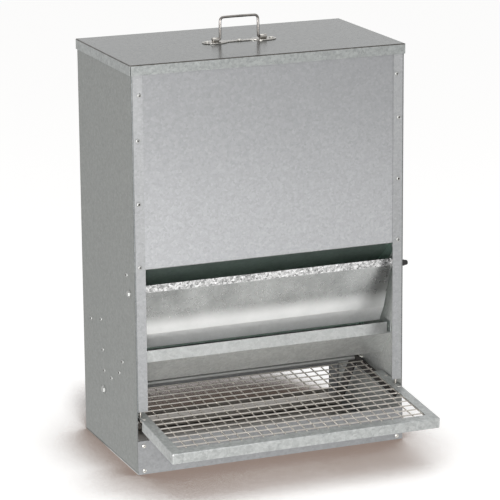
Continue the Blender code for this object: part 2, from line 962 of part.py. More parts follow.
def make_treadle_frame(materials, axis):
    front = along_treadle(-treadle_reach)
    rear = along_treadle(treadle_rail_end)
    frame = open_box(
        "treadle_frame",
        (-treadle_half_width, front, treadle_top - treadle_skirt),
        (treadle_half_width, rear, treadle_top),
        [(0, 0, -1), (0, 1, 0)],
        treadle_sheet,
    )
    window_x = treadle_half_width - treadle_rail
    under = treadle_top - treadle_sheet
    window = box(
        "treadle_window",
        (-window_x, front + treadle_front_rail, under - sheet),
        (window_x, rear + sheet, treadle_top + sheet),
        True,
    )
    cut(frame, window)
    tools = [window]
    for side in (-1, 1):
        x = sorted((side * (treadle_half_width - 2 * sheet), side * (treadle_half_width + sheet)))
        tools.append(box(
            f"skirt_end_{side}",
            (x[0], along_treadle(treadle_skirt_end), treadle_top - treadle_skirt - sheet),
            (x[1], rear + sheet, under),
            True,
        ))
        cut(frame, tools[-1])
        slot_y = link_local_y + link_slot_shift
        tools.append(box(
            f"link_slot_{side}",
            (side * link_x - link_slot_width / 2, slot_y - link_slot_length / 2, under - sheet),
            (side * link_x + link_slot_width / 2, slot_y + link_slot_length / 2, treadle_top + sheet),
            True,
        ))
        cut(frame, tools[-1])
    holes = [
        through_hole("frame_hole", spot, (0, 0, 1), rivet_radius + hole_clearance)
        for spot in tab_spots()
    ]
    tools.append(gathered("treadle_frame_holes", holes))
    cut(frame, tools[-1])
    ride(axis, frame, *tools)
    finish(frame, materials["treadle"])


def tab_spots():
    x = arm_inner_x + arm_tab_width / 2 + sheet
    return [
        Vector((side * x, along_treadle(depth), treadle_top))
        for side in (-1, 1)
        for depth in (front_tab, rear_tab)
    ]


def make_weldmesh(materials, axis):
    """Welded wires in two layers that sink into each other where they cross."""
    rows_height = treadle_top - treadle_sheet - seat - mesh_wire_radius
    columns_height = rows_height - 2 * mesh_wire_radius + mesh_weld_depth
    rear = along_treadle(mesh_rear)
    overrun = mesh_wire_radius + seat
    row_half_length = arm_inner_x - seat
    window_run = mesh_rear + treadle_reach - treadle_front_rail
    mesh_columns = math.floor(2 * (row_half_length - overrun) / mesh_pitch) + 1
    mesh_rows = math.ceil(window_run / mesh_pitch) + 1
    half_across = (mesh_columns - 1) * mesh_pitch / 2
    half_run = (mesh_rows - 1) * mesh_pitch / 2

    def wires(name, count, half_length, spot, turn, is_cutter):
        shape = bmesh.new()
        for i in range(count):
            made = bmesh.ops.create_cone(
                shape, cap_ends=True, segments=mesh_sides, radius1=mesh_wire_radius,
                radius2=mesh_wire_radius, depth=2 * half_length,
            )
            bmesh.ops.transform(
                shape, matrix=Matrix.Translation(spot(i)) @ turn, verts=made["verts"]
            )
        return object_from_bmesh(name, shape, is_cutter)

    upright_across = Matrix(((0, 0, 1, 0), (1, 0, 0, 0), (0, 1, 0, 0), (0, 0, 0, 1)))
    upright_along = Matrix(((-1, 0, 0, 0), (0, 0, 1, 0), (0, 1, 0, 0), (0, 0, 0, 1)))
    rows = wires(
        "treadle_mesh", mesh_rows, row_half_length,
        lambda i: Vector((0.0, rear - i * mesh_pitch, rows_height)), upright_across, False,
    )
    columns = wires(
        "treadle_mesh_columns", mesh_columns, half_run + overrun,
        lambda i: Vector((i * mesh_pitch - half_across, rear - half_run, columns_height)),
        upright_along, True,
    )
    fuse(rows, columns)
    ride(axis, rows, columns)
    finish(rows, materials["wire"])


def level_offset(depth, height):
    """A level offset from the treadle's axle, turned into the tilted treadle's own frame."""
    cosine, sine = math.cos(treadle_tilt), math.sin(treadle_tilt)
    return (depth * cosine + height * sine, height * cosine - depth * sine)


def make_arms(materials, axis):
    """Two hooked plates that carry the treadle's frame in front and its weight at the back."""
    arm_top = treadle_top - treadle_sheet - seat
    bar_top = arm_top - arm_relief
    bar_bottom = arm_top - arm_depth
    front = along_treadle(arm_front_end)
    drop = weight_middle_height - treadle_axle_height
    foot_depth = weight_middle_depth - treadle_axle_depth
    half_foot = weight_depth / 2 - arm_foot_inset
    lean = math.atan2(*level_offset(foot_depth, drop)[::-1])
    hub = []
    for step in range(5):
        angle = math.radians(100) + (lean + math.pi / 2 - math.radians(100)) * step / 4
        hub.append((arm_hub_radius * math.cos(angle), arm_hub_radius * math.sin(angle)))
    foot = [
        level_offset(foot_depth + half_foot, drop + weight_height / 2),
        level_offset(foot_depth + half_foot, drop - weight_height / 2),
        level_offset(foot_depth - half_foot, drop - weight_height / 2),
    ]
    nose = arm_depth / 3
    outline = [(front, bar_top), (-nose, bar_top)] + hub + foot
    outline += [(-nose, bar_bottom), (front + nose, bar_bottom), (front, bar_bottom + nose)]
    weight_spot = level_offset(foot_depth, drop)

    for side, word in ((-1, "left"), (1, "right")):
        middle_x = side * (arm_inner_x + arm_sheet / 2)
        arm = flat_plate(
            f"treadle_arm_{word}", outline[::-1], arm_sheet, standing(middle_x, Vector((0, 0, 0)))
        )
        tools = []
        for depth in (front_tab, rear_tab):
            x = sorted((side * (arm_inner_x + sheet), side * (arm_inner_x + arm_tab_width)))
            y = along_treadle(depth)
            tab = box(
                f"arm_tab_{word}",
                (x[0], y - tab_length / 2, arm_top - arm_sheet),
                (x[1], y + tab_length / 2, arm_top),
                True,
            )
            fuse(arm, tab)
            tools.append(tab)
        way = (1, 0, 0)
        holes = [
            axle_hole("hub", (middle_x, 0, 0), treadle_axle_radius, short_reach),
            through_hole(
                "link", (middle_x, link_local_y, 0), way, link_radius + hole_clearance, short_reach
            ),
            through_hole(
                "weight", (middle_x, *weight_spot), way, screw_radius + hole_clearance, short_reach
            ),
        ]
        for spot in tab_spots():
            if spot.x * side > 0:
                holes.append(through_hole("tab", spot, (0, 0, 1), rivet_radius + hole_clearance))
        tools.append(gathered(f"treadle_arm_{word}_holes", holes))
        cut(arm, tools[-1])
        ride(axis, arm, *tools)
        finish(arm, materials["arm"])

        start = Vector((side * (arm_inner_x + arm_sheet + seat), *weight_spot))
        bolt = screw(f"counterweight_screw_{word}", start, (side, 0, 0), weight_screw_length)
        ride(axis, bolt)
        finish(bolt, materials["zinc"])
    for i, spot in enumerate(tab_spots()):
        word = ("left_front", "left_rear", "right_front", "right_rear")[i]
        start = spot + Vector((0.0, 0.0, seat))
        grip = treadle_sheet + arm_sheet + 2 * seat
        made = rivet(f"treadle_rivet_{word}", start, (0, 0, 1), grip, is_cutter=False)
        ride(axis, made)
        finish(made, materials["zinc"])

    half_bar = arm_inner_x - seat
    bar = box(
        "counterweight_bar",
        (-half_bar, -weight_depth / 2, -weight_height / 2),
        (half_bar, weight_depth / 2, weight_height / 2),
    )
    edges = bar.modifiers.new("edges", "BEVEL")
    edges.width = weight_edge
    edges.segments = 1
    sockets = []
    for side in (-1, 1):
        start = Vector((side * (half_bar + sheet), 0.0, 0.0))
        end = Vector((side * (half_bar - weight_socket), 0.0, 0.0))
        sockets.append(cylinder("socket", screw_radius + hole_clearance, start, end, 8))
    drilling = gathered("counterweight_sockets", sockets)
    cut(bar, drilling)
    for item in (bar, drilling):
        item.location = (0.0, *weight_spot)
        item.rotation_euler = (-treadle_tilt, 0.0, 0.0)
    ride(axis, bar, drilling)
    finish(bar, materials["pan"])


def make_links(materials):
    """Upright rods whose feet turn in the treadle's arms and whose heads hook the flap's lobes."""
    length = flap_pin[1] - link_foot_height
    for side, word in ((-1, "left"), (1, "right")):
        axis = joint_axis(f"link_axis_{word}", place(link_depth, link_foot_height))
        points = [
            (side * (arm_inner_x - link_foot / 3), 0.0, 0.0),
            (side * link_x, 0.0, 0.0),
            (side * link_x, 0.0, length),
            (side * (flap_half_width - link_foot / 2), 0.0, length),
        ]
        rod = wire(f"link_rod_{word}", points, link_radius, [link_bend, link_bend])
        ride(axis, rod)
        finish(rod, materials["wire"])


# Places that the moving pieces share
link_slot_radius = link_radius + link_play + link_hole_slack
flap_pin = (
    flap_axle_depth - flap_arm_length * math.cos(flap_arm_rise),
    flap_axle_height + flap_arm_length * math.sin(flap_arm_rise),
)
link_depth = flap_pin[0] - link_play
link_local_y = (link_depth - treadle_axle_depth) / math.cos(treadle_tilt)
link_foot_height = treadle_axle_height + link_local_y * math.sin(treadle_tilt)
weight_middle_height = flange_top + seat + weight_height / 2


def main():
    clear_scene()
    make_collections()
    materials = {
        "side": metal("galvanised_side", (0.36, 0.37, 0.36), 0.45),
        "front": metal("galvanised_front", (0.52, 0.54, 0.54), 0.42),
        "inside": metal("galvanised_inside", (0.42, 0.43, 0.43), 0.40),
        "slope": metal("galvanised_slope", (0.30, 0.32, 0.31), 0.45),
        "arm": metal("dark_steel", (0.12, 0.115, 0.11), 0.55),
        "flap": metal("galvanised_flap", (0.56, 0.56, 0.55), 0.36),
        "pan": metal("galvanised_pan", (0.48, 0.49, 0.49), 0.42),
        "lid": metal("galvanised_lid", (0.40, 0.42, 0.41), 0.28),
        "treadle": metal("galvanised_treadle", (0.50, 0.52, 0.52), 0.42),
        "wire": metal("bright_wire", (0.46, 0.45, 0.43), 0.32),
        "bail": metal("handle_wire", (0.30, 0.29, 0.28), 0.32),
        "zinc": metal("zinc_plate", (0.60, 0.60, 0.58), 0.30),
        "black": metal("black_nut", (0.02, 0.02, 0.02), 0.50, 0.0),
    }
    holes = make_rivet_holes()
    make_case(materials, holes)
    make_base(materials)
    make_hopper(materials, holes)
    make_axles(materials)
    make_lid(materials)
    make_flap(materials)
    treadle_axis = joint_axis(
        "treadle_axis", place(treadle_axle_depth, treadle_axle_height), treadle_tilt
    )
    make_treadle_frame(materials, treadle_axis)
    make_weldmesh(materials, treadle_axis)
    make_arms(materials, treadle_axis)
    make_links(materials)


main()
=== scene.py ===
import json
import math

import bpy
from mathutils import Matrix, Vector


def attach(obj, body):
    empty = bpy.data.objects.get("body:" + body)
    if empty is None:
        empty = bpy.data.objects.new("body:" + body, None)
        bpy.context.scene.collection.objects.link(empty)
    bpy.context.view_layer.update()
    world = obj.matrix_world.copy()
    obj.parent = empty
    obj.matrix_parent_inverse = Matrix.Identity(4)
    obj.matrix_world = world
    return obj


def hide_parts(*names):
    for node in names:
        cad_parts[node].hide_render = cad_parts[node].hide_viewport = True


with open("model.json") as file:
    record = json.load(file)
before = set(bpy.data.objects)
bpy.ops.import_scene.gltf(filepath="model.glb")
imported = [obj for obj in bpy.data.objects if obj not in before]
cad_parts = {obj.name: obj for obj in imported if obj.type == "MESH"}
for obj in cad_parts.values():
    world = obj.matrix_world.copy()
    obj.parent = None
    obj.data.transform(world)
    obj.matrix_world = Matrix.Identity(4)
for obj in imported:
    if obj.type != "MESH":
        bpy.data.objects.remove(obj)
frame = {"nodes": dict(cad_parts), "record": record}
scene = bpy.context.scene
nodes = frame["nodes"]
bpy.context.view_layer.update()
print("frame loaded with", len(nodes), "nodes")


# sRGB hex to the linear colour that the shader wants
def paint(hexCode, alpha=1.0):
    values = [int(hexCode[i:i + 2], 16) / 255 for i in (1, 3, 5)]
    return (*[v / 12.92 if v <= 0.04045 else ((v + 0.055) / 1.055) ** 2.4 for v in values], alpha)


# one node with its properties set and its inputs set or linked
def addNode(tree, kind, settings=None, inputs=None):
    node = tree.nodes.new(kind)
    for key, value in (settings or {}).items():
        setattr(node, key, value)
    for key, value in (inputs or {}).items():
        if isinstance(value, bpy.types.NodeSocket):
            tree.links.new(value, node.inputs[key])
        else:
            node.inputs[key].default_value = value
    return node


def newMaterial(name):
    material = bpy.data.materials.new(name)
    material.use_nodes = True
    tree = material.node_tree
    return material, tree, tree.nodes["Principled BSDF"]


# How zinc crystals are drawn: how quickly and how far their edges wander, against one crystal's size, how
# much finer the feathers in them are and how much these show. The grain is drawn 0.2 mm high, far more
# than in reality, and each look's relief weakens it again.
crystalDrawing = {"wanderScale": 0.6, "wanderDetail": 2.0, "wanderReach": 1.4, "featherScale": 2.7,
                  "featherShare": 0.35, "cloudDetail": 4.0, "cloudRoughness": 0.6, "grainHeight": 0.0002}


# one set of zinc crystals: their colour, their roughness and the height of their grain
def spangle(tree, place, look):
    crystalScale = 1 / look["crystal"]
    wander = addNode(tree, "ShaderNodeTexNoise", None,
                     {"Vector": place, "Scale": crystalScale * crystalDrawing["wanderScale"],
                      "Detail": crystalDrawing["wanderDetail"]})
    centred = addNode(tree, "ShaderNodeVectorMath", {"operation": "SUBTRACT"},
                      {0: wander.outputs["Color"], 1: (0.5, 0.5, 0.5)})
    moved = addNode(tree, "ShaderNodeVectorMath", {"operation": "MULTIPLY_ADD"},
                    {0: centred.outputs[0], 1: (look["crystal"] * crystalDrawing["wanderReach"],) * 3,
                     2: place})
    crystals = addNode(tree, "ShaderNodeTexVoronoi", None,
                       {"Vector": moved.outputs[0], "Scale": crystalScale})
    feathers = addNode(tree, "ShaderNodeTexVoronoi", None,
                       {"Vector": moved.outputs[0], "Scale": crystalScale * crystalDrawing["featherScale"]})
    clouds = addNode(tree, "ShaderNodeTexNoise", None,
                     {"Vector": place, "Scale": 1 / look["cloud"], "Detail": crystalDrawing["cloudDetail"],
                      "Roughness": crystalDrawing["cloudRoughness"]})
    big = addNode(tree, "ShaderNodeSeparateColor", None, {"Color": crystals.outputs["Color"]})
    small = addNode(tree, "ShaderNodeSeparateColor", None, {"Color": feathers.outputs["Color"]})
    grain = addNode(tree, "ShaderNodeMix", {"data_type": "FLOAT"},
                    {0: crystalDrawing["featherShare"], 2: big.outputs[0], 3: small.outputs[0]})
    shade = addNode(tree, "ShaderNodeMix", {"data_type": "FLOAT"},
                    {0: look["clouding"], 2: grain.outputs[0], 3: clouds.outputs["Fac"]})
    colour = addNode(tree, "ShaderNodeMix", {"data_type": "RGBA"},
                     {0: shade.outputs[0], 6: paint(look["dark"]), 7: paint(look["light"])})
    rough = addNode(tree, "ShaderNodeMapRange", None,
                    {"Value": big.outputs[1], "To Min": look["rough"][0], "To Max": look["rough"][1]})
    return colour.outputs[2], rough.outputs[0], grain.outputs[0]


# Hot-dip galvanised sheet: flat zinc crystals, each turned its own way, so each one
# is a shade lighter or darker and a little smoother or rougher than the next.
# Other looks can take over beyond a place along an axis: where the sheet is folded, and where light or shade
# is painted in.
def galvanisedSheet(name, look):
    material, tree, shader = newMaterial(name)
    place = addNode(tree, "ShaderNodeTexCoord").outputs["Object"]
    colour, rough, grain = spangle(tree, place, look)
    along = addNode(tree, "ShaderNodeSeparateXYZ", None, {0: place})
    for zone in look.get("beyond", []):
        otherColour, otherRough, otherGrain = spangle(tree, place, {**look, **zone})
        across = addNode(tree, "ShaderNodeMath", {"operation": "ABSOLUTE"}, {0: along.outputs[zone["axis"]]})
        there = addNode(tree, "ShaderNodeMapRange", {"interpolation_type": "SMOOTHSTEP"},
                        {"Value": across.outputs[0], "From Min": zone["span"][0],
                         "From Max": zone["span"][1]}).outputs[0]
        colour = addNode(tree, "ShaderNodeMix", {"data_type": "RGBA"},
                         {0: there, 6: colour, 7: otherColour}).outputs[2]
        rough = addNode(tree, "ShaderNodeMix", {"data_type": "FLOAT"},
                        {0: there, 2: rough, 3: otherRough}).outputs[0]
        grain = addNode(tree, "ShaderNodeMix", {"data_type": "FLOAT"},
                        {0: there, 2: grain, 3: otherGrain}).outputs[0]
    ridge = addNode(tree, "ShaderNodeBump", None,
                    {"Strength": look["relief"], "Distance": crystalDrawing["grainHeight"], "Height": grain})
    tree.links.new(colour, shader.inputs["Base Color"])
    tree.links.new(rough, shader.inputs["Roughness"])
    tree.links.new(ridge.outputs[0], shader.inputs["Normal"])
    shader.inputs["Metallic"].default_value = look["metallic"]
    return material


# How wear is drawn, coarser and higher than in reality so that it shows from a few steps away
wearDrawing = {"detail": 5.0, "roughness": 0.65, "height": 0.0001}


# Plated, drawn, scaled or painted steel: one even surface whose fine wear clouds its shine a little
def platedMetal(name, look):
    material, tree, shader = newMaterial(name)
    place = addNode(tree, "ShaderNodeTexCoord").outputs["Object"]
    wear = addNode(tree, "ShaderNodeTexNoise", None,
                   {"Vector": place, "Scale": 1 / look["wear"], "Detail": wearDrawing["detail"],
                    "Roughness": wearDrawing["roughness"]})
    colour = addNode(tree, "ShaderNodeMix", {"data_type": "RGBA"},
                     {0: wear.outputs["Fac"], 6: paint(look["dark"]), 7: paint(look["light"])})
    rough = addNode(tree, "ShaderNodeMapRange", None,
                    {"Value": wear.outputs["Fac"], "To Min": look["rough"][0], "To Max": look["rough"][1]})
    ridge = addNode(tree, "ShaderNodeBump", None,
                    {"Strength": look["relief"], "Distance": wearDrawing["height"],
                     "Height": wear.outputs["Fac"]})
    tree.links.new(colour.outputs[2], shader.inputs["Base Color"])
    tree.links.new(rough.outputs[0], shader.inputs["Roughness"])
    tree.links.new(ridge.outputs[0], shader.inputs["Normal"])
    shader.inputs["Metallic"].default_value = look["metallic"]
    return material


# All sheets are steel that was dipped in molten zinc and then cut and folded. Sizes are in metres; crystals
# are 3.5 to 5 mm across, as on common sheet. Each "beyond" is a look that takes over along one axis.
sheetLooks = {
    # dull and even; the flange in front, then by distance from the middle: the dark fold, painted shade that
    # hides the bend's highlight; the wall's inner face, painted bright as painted light; the sheet's edge,
    # painted dark as painted shade; and the outer face, painted greyer than the flange as painted shade
    "galvanised_side": {"crystal": 0.004, "cloud": 0.012, "clouding": 0.45, "dark": "#8b8c8d",
                        "light": "#a2a3a4", "rough": (0.58, 0.68), "relief": 0.08, "metallic": 0.85,
                        "beyond": [{"axis": 0, "span": (0.2472, 0.2476), "dark": "#5c5f5f",
                                    "light": "#6c6f6f"},
                                   {"axis": 0, "span": (0.24896, 0.24898), "dark": "#a2a4a2",
                                    "light": "#d2d3d1"},
                                   {"axis": 0, "span": (0.24902, 0.24904), "dark": "#5c5f5f",
                                    "light": "#6c6f6f"},
                                   {"axis": 0, "span": (0.2498, 0.2499), "dark": "#848684",
                                    "light": "#9b9d9b"}]},
    # dull and even; the base panel is dark, and the big panel runs from light at its foot to dark on top,
    # painted light that stands in for the bright floor's reflection
    "galvanised_front": {"crystal": 0.004, "cloud": 0.012, "clouding": 0.45, "dark": "#828384",
                         "light": "#98999a", "rough": (0.60, 0.70), "relief": 0.08, "metallic": 0.85,
                         "beyond": [{"axis": 2, "span": (0.08, 0.12), "dark": "#959697",
                                     "light": "#adaeb0"},
                                    {"axis": 2, "span": (0.36, 0.70), "dark": "#828385",
                                     "light": "#969798"}]},
    # clouded by rubbing feed; the trough is painted lighter where it stands in shade, as painted light, and
    # its lip greyer
    "galvanised_inside": {"crystal": 0.005, "cloud": 0.05, "clouding": 0.60, "dark": "#bfc0be",
                          "light": "#f6f7f5", "rough": (0.36, 0.50), "relief": 0.10, "metallic": 0.9,
                          "beyond": [{"axis": 2, "span": (0.1840, 0.1850), "dark": "#939594",
                                      "light": "#c6c8c7"}]},
    # clouded by rubbing feed, and a cold, greenish grey deep in the hopper, painted shade that stands in for
    # the dark cast of the shade there
    "galvanised_slope": {"crystal": 0.005, "cloud": 0.05, "clouding": 0.50, "dark": "#8c9e96",
                         "light": "#acbdb5", "rough": (0.36, 0.50), "relief": 0.10, "metallic": 0.9},
    # smooth and bright; upwards the low band, the bright foot, a painted highlight, the grey middle, painted
    # shade, and the strip on top, large crystals drawn with strong light and dark glints, painted
    # reflections of the rolled edge
    "galvanised_flap": {"crystal": 0.005, "cloud": 0.05, "clouding": 0.70, "dark": "#e6e7e6",
                        "light": "#ffffff", "rough": (0.46, 0.54), "relief": 0.04, "metallic": 0.9,
                        "beyond": [{"axis": 2, "span": (0.2318, 0.2330), "clouding": 0.95,
                                    "dark": "#dcdedd", "light": "#ffffff", "rough": (0.30, 0.38)},
                                   {"axis": 2, "span": (0.2420, 0.2720), "cloud": 0.06, "clouding": 0.95,
                                    "dark": "#757776", "light": "#cfd1d0", "rough": (0.26, 0.32)},
                                   {"axis": 2, "span": (0.3150, 0.3158), "crystal": 0.0035,
                                    "cloud": 0.02, "clouding": 0.10, "dark": "#3c3e3d",
                                    "light": "#ffffff", "rough": (0.18, 0.55)}]},
    # painted bright in front as painted light, and a painted brown shade behind, deep under the case
    "galvanised_pan": {"crystal": 0.005, "cloud": 0.05, "clouding": 0.55, "dark": "#d4d5d3",
                       "light": "#f3f3f2", "rough": (0.42, 0.54), "relief": 0.08, "metallic": 0.85,
                       "beyond": [{"axis": 1, "span": (0.07, 0.13), "dark": "#8f8a84",
                                   "light": "#aba6a0"}]},
    # the skirt; the dark line along its bend, painted shade in place of the rounded bend's highlight; and
    # the top, smoothed by rolling and painted darker than the skirt as painted shade
    "galvanised_lid": {"crystal": 0.004, "cloud": 0.02, "clouding": 0.35, "dark": "#7c7f7e",
                       "light": "#acafae", "rough": (0.34, 0.42), "relief": 0.0, "metallic": 0.9,
                       "beyond": [{"axis": 2, "span": (0.7130, 0.7136), "dark": "#3a3734",
                                   "light": "#5e5a56"},
                                  {"axis": 2, "span": (0.71485, 0.71495), "clouding": 0.85,
                                   "dark": "#5a5d5c", "light": "#5f6261", "rough": (0.22, 0.26)}]},
    # light, with crystals that can be made out one by one
    "galvanised_treadle": {"crystal": 0.005, "cloud": 0.02, "clouding": 0.40, "dark": "#8c8f8e",
                           "light": "#c1c3c2", "rough": (0.38, 0.52), "relief": 0.10, "metallic": 0.9},
}
plainLooks = {
    # drawn wire with a thin zinc coat: a narrow, soft line of light along it
    "bright_wire": {"wear": 0.006, "dark": "#a09b94", "light": "#d2cec8", "rough": (0.26, 0.40),
                    "relief": 0.10, "metallic": 1.0},
    # the same wire, darkened by handling
    "handle_wire": {"wear": 0.014, "dark": "#565250", "light": "#9a9692", "rough": (0.22, 0.34),
                    "relief": 0.10, "metallic": 1.0},
    # steel with its rolling scale still on: nearly black, with hardly any shine
    "dark_steel": {"wear": 0.006, "dark": "#2a2724", "light": "#423e3a", "rough": (0.50, 0.66),
                   "relief": 0.15, "metallic": 0.6},
    # turned and pressed fasteners, plated with zinc: pale and smooth
    "zinc_plate": {"wear": 0.003, "dark": "#a8a6a1", "light": "#d6d4cf", "rough": (0.22, 0.36),
                   "relief": 0.08, "metallic": 0.9},
    # steel under a coat of black paint: a soft satin shine and no metal showing
    "black_nut": {"wear": 0.004, "dark": "#060606", "light": "#121212", "rough": (0.50, 0.62),
                  "relief": 0.10, "metallic": 0.0},
}
finishes = {slot: galvanisedSheet(slot, look) for slot, look in sheetLooks.items()}
finishes.update({slot: platedMetal(slot, look) for slot, look in plainLooks.items()})
# zinc plate that weather has dulled to a soft grey, on the case's rivets and the axles
wornPlate = platedMetal("worn_rivet_zinc", {
    "wear": 0.004, "dark": "#969795", "light": "#b9bab8", "rough": (0.48, 0.60), "relief": 0.08,
    "metallic": 0.85})
# zinc plate rubbed into browner and lighter patches, on the handle's pressed plate
patchyPlate = platedMetal("dull_zinc_plate", {
    "wear": 0.004, "dark": "#7a7773", "light": "#c2bfba", "rough": (0.20, 0.34), "relief": 0.12,
    "metallic": 1.0})

for part in frame["record"]["subparts"]:
    mesh = nodes[part["node"]].data
    mesh.materials.clear()
    mesh.materials.append(finishes[part["material_slot"]])
print("finishes given to every node")


def selectOnly(*chosen):
    bpy.ops.object.select_all(action="DESELECT")
    for each in chosen:
        each.select_set(True)
    bpy.context.view_layer.objects.active = chosen[0]


# A filled ring that is extruded on along the way it faces, ring by ring, each with its own radius
def turnedPiece(name, sides, start, way, rings):
    facing = Vector(way).normalized()
    bpy.ops.object.select_all(action="DESELECT")
    bpy.ops.mesh.primitive_circle_add(
        vertices=sides, radius=rings[0][1], fill_type="NGON",
        location=Vector(start) + facing * rings[0][0], rotation=facing.to_track_quat("Z", "Y").to_euler())
    piece = bpy.context.active_object
    piece.name = name
    bpy.ops.object.mode_set(mode="EDIT")
    bpy.ops.mesh.select_all(action="SELECT")
    for (before, wide), (after, narrow) in zip(rings, rings[1:]):
        bpy.ops.mesh.extrude_region_move(TRANSFORM_OT_translate={"value": facing * (after - before)})
        bpy.ops.transform.resize(value=(narrow / wide,) * 3, center_override=Vector(start) + facing * after)
    bpy.ops.object.mode_set(mode="OBJECT")
    bpy.ops.object.transform_apply(location=True, rotation=True, scale=True)
    return piece


# points closer than this are merged, and edges flatter than this are shaded soft
limits = {"mergeWithin": 0.00001, "softUnder": math.radians(40)}


# The last steps of each piece: clean normals, soft shading, a finish and the body that it moves with
def finishPiece(piece, slotName, body, *standsFor, finish=None):
    selectOnly(piece)
    bpy.ops.object.mode_set(mode="EDIT")
    bpy.ops.mesh.select_all(action="SELECT")
    bpy.ops.mesh.normals_make_consistent(inside=False)
    bpy.ops.object.mode_set(mode="OBJECT")
    bpy.ops.object.shade_smooth_by_angle(angle=limits["softUnder"])
    piece.data.materials.clear()
    piece.data.materials.append(finish or finishes[slotName])
    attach(piece, body)
    if standsFor:
        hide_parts(*standsFor)


# the pit that a rivet's broken-off stem leaves is painted dark: the steel of the stem, and painted shade in
# the hollow
def paintPitShade(piece, spot, way, pit):
    piece.data.materials.append(finishes["dark_steel"])
    for face in piece.data.polygons:
        out = Vector(face.center) - Vector(spot)
        height = out.dot(Vector(way))
        if height > pit["above"] and (out - Vector(way) * height).length < pit["within"]:
            face.material_index = 1


# another piece of the same shape, with a mesh of its own, moved over by so much
def copied(piece, name, way):
    selectOnly(piece)
    bpy.ops.object.duplicate(linked=False)
    other = bpy.context.active_object
    other.name = name
    bpy.ops.transform.translate(value=way)
    bpy.ops.object.transform_apply(location=True, rotation=True, scale=True)
    return other


# Blind rivets: domed heads with the small pit that the broken-off stem leaves
rivetHead = {
    "sides": 16,
    "rings": ((-0.0001, 0.0038), (0.0007, 0.0038), (0.0013, 0.0034), (0.0017, 0.0027), (0.00185, 0.0019),
              (0.0011, 0.0014)),
    "pit": {"above": 0.0010, "within": 0.0019},
    "sideFace": 0.25,
    "sideSpots": ((-0.02077, 0.34637), (0.00935, 0.18352), (0.02702, 0.15915), (0.06940, 0.13746),
                  (0.10722, 0.14085), (0.11403, 0.17718), (0.12017, 0.23122), (0.17451, 0.21883)),
    "frontFace": -0.06,
    # the second of these is in the photo but not in the CAD
    "frontSpots": ((0.240, 0.3675), (0.240, 0.477), (0.240, 0.586), (0.236, 0.663)),
    "rearFace": 0.22,
    "rearSpots": ((0.240, 0.1115), (0.240, 0.35575), (0.240, 0.600)),
}
rivetRows = []
for side, word in ((-1, "left"), (1, "right")):
    rivetRows.append((f"side_rivet_head_{word}", (side, 0, 0), [
        (side * rivetHead["sideFace"], y, z) for y, z in rivetHead["sideSpots"]]))
    rivetRows.append((f"front_rivet_head_{word}", (0, -1, 0), [
        (side * x, rivetHead["frontFace"], z) for x, z in rivetHead["frontSpots"]]))
    rivetRows.append((f"rear_rivet_head_{word}", (0, 1, 0), [
        (side * x, rivetHead["rearFace"], z) for x, z in rivetHead["rearSpots"]]))
for name, way, spots in rivetRows:
    head = turnedPiece(f"{name}_1", rivetHead["sides"], spots[0], way, rivetHead["rings"])
    heads = [head] + [copied(head, f"{name}_{i}", Vector(spot) - Vector(spots[0]))
                      for i, spot in enumerate(spots[1:], 2)]
    for each, spot in zip(heads, spots):
        finishPiece(each, "zinc_plate", "casing", finish=wornPlate)
        paintPitShade(each, spot, way, rivetHead["pit"])
print("rivet heads made")

# The chest handle's plate: the pressed sheet with its edges rounded over, held by three blind rivets
handlePlate = {
    "edge": 0.00035, "steps": 2, "flatUnder": math.radians(1), "sharpOver": math.radians(50),
    "top": 0.7165, "y": 0.080,
    "rivets": {"handle_rivet_left": -0.060, "handle_rivet_middle": 0.0, "handle_rivet_right": 0.060},
    "sides": 16,
    "rings": ((-0.0002, 0.0041), (0.0008, 0.0042), (0.0015, 0.0037), (0.0020, 0.0027), (0.0022, 0.0016),
              (0.0016, 0.0012)),
}
plate = bpy.data.objects.new("plate_pressing", nodes["handle_plate"].data.copy())
scene.collection.objects.link(plate)
selectOnly(plate)
bpy.ops.object.mode_set(mode="EDIT")
bpy.ops.mesh.select_all(action="SELECT")
bpy.ops.mesh.remove_doubles(threshold=limits["mergeWithin"])
bpy.ops.mesh.dissolve_limited(angle_limit=handlePlate["flatUnder"])
bpy.ops.object.mode_set(mode="OBJECT")
easing = plate.modifiers.new("easing", "BEVEL")
easing.width = handlePlate["edge"]
easing.segments = handlePlate["steps"]
easing.limit_method = "ANGLE"
easing.angle_limit = handlePlate["sharpOver"]
bpy.ops.object.modifier_apply(modifier="easing")
finishPiece(plate, "zinc_plate", "lid", "handle_plate", finish=patchyPlate)
for node, x in handlePlate["rivets"].items():
    head = turnedPiece(f"{node}_head", handlePlate["sides"], (x, handlePlate["y"], handlePlate["top"]),
                       (0, 0, 1), handlePlate["rings"])
    finishPiece(head, "zinc_plate", "lid", node)
print("handle plate made")

